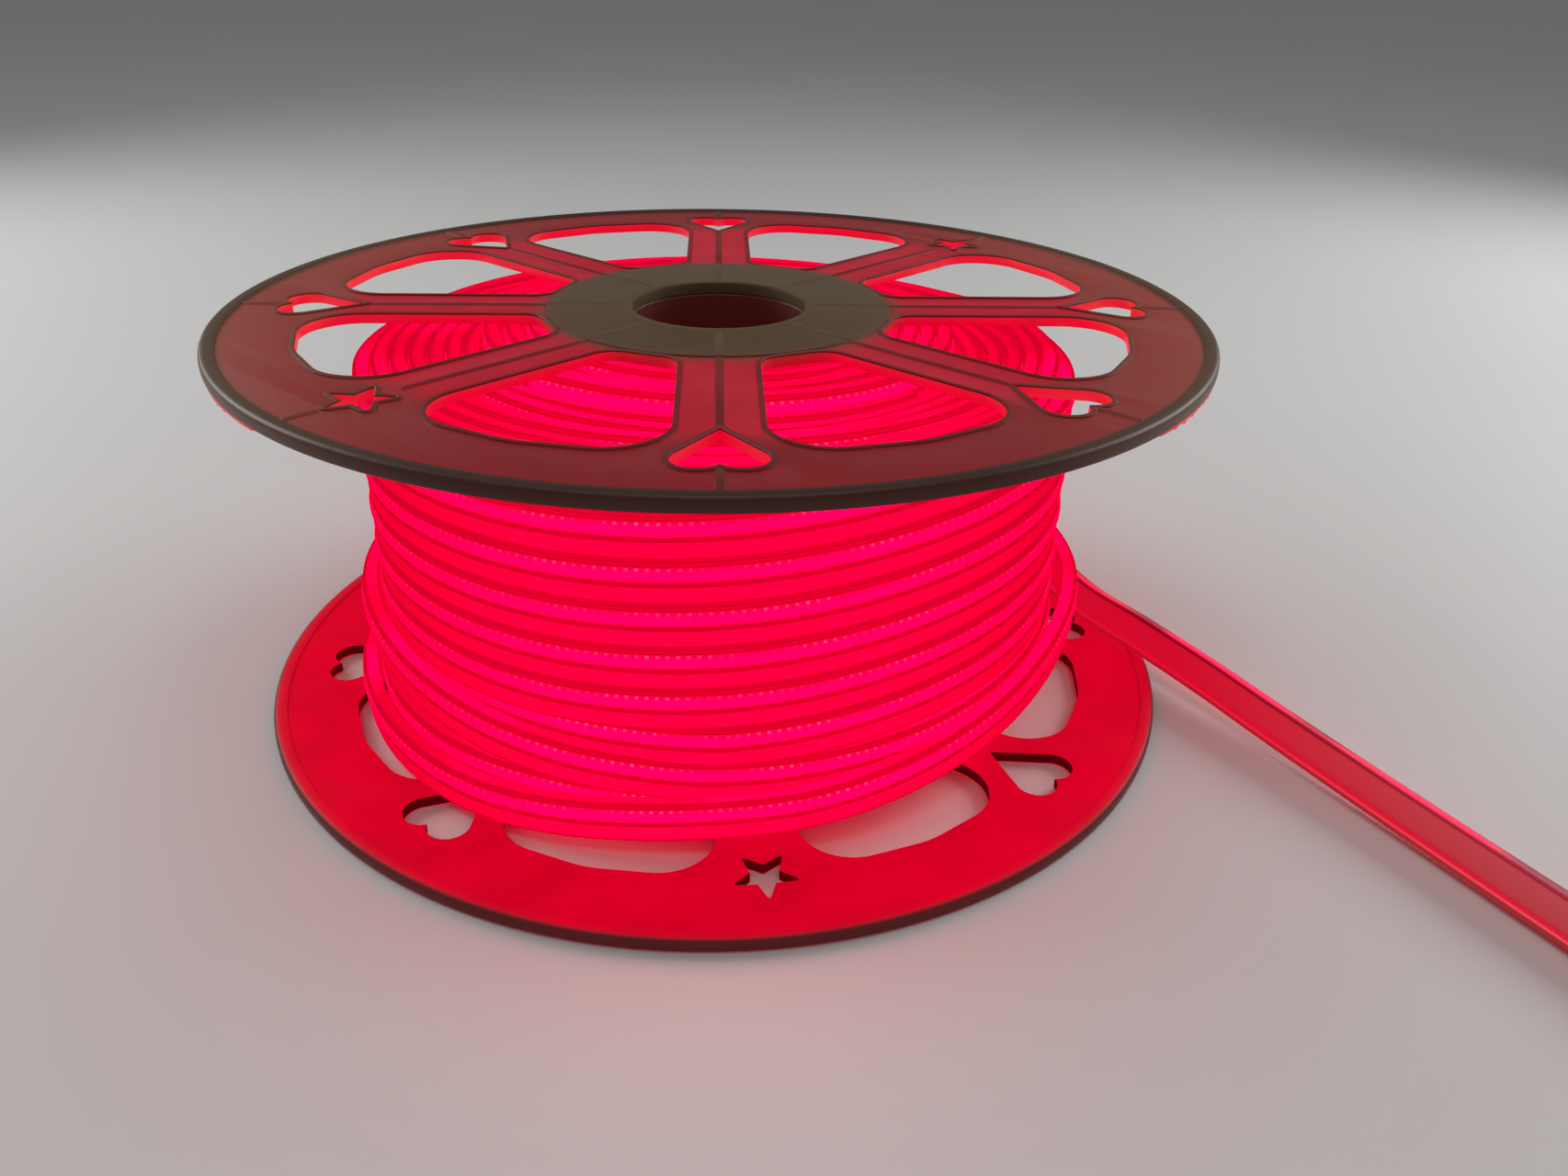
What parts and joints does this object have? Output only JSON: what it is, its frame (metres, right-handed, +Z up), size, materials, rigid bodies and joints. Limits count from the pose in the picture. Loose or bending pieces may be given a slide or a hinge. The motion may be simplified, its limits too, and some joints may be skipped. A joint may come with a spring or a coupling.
{
  "type": "led strip reel",
  "caption": "Lit red COB LED strip light wound on a translucent spoked plastic reel, its free end lying beside it.",
  "frame": {"origin": "on the floor under the reel's axis, at the centre of the reel's base", "axes": "+Z up along the reel's axis; -Y towards the viewer of the reference view; the strip's free end leaves towards +X and -Y"},
  "size_m": [0.3887, 0.3609, 0.1218],
  "materials": {
    "milky_plastic": "satin milky translucent moulding",
    "lit_strip": "clear soft plastic lit red from inside",
    "cap_plastic": "semi-clear moulded plastic"
  },
  "bodies": {
    "root": {"lower_flange": "milky_plastic", "upper_flange": "milky_plastic", "hub_core": "milky_plastic", "strip_winding": "lit_strip", "strip_loose_turns": "lit_strip", "strip_tail": "lit_strip", "tail_end_cap": "cap_plastic"}
  },
  "joints": []
}
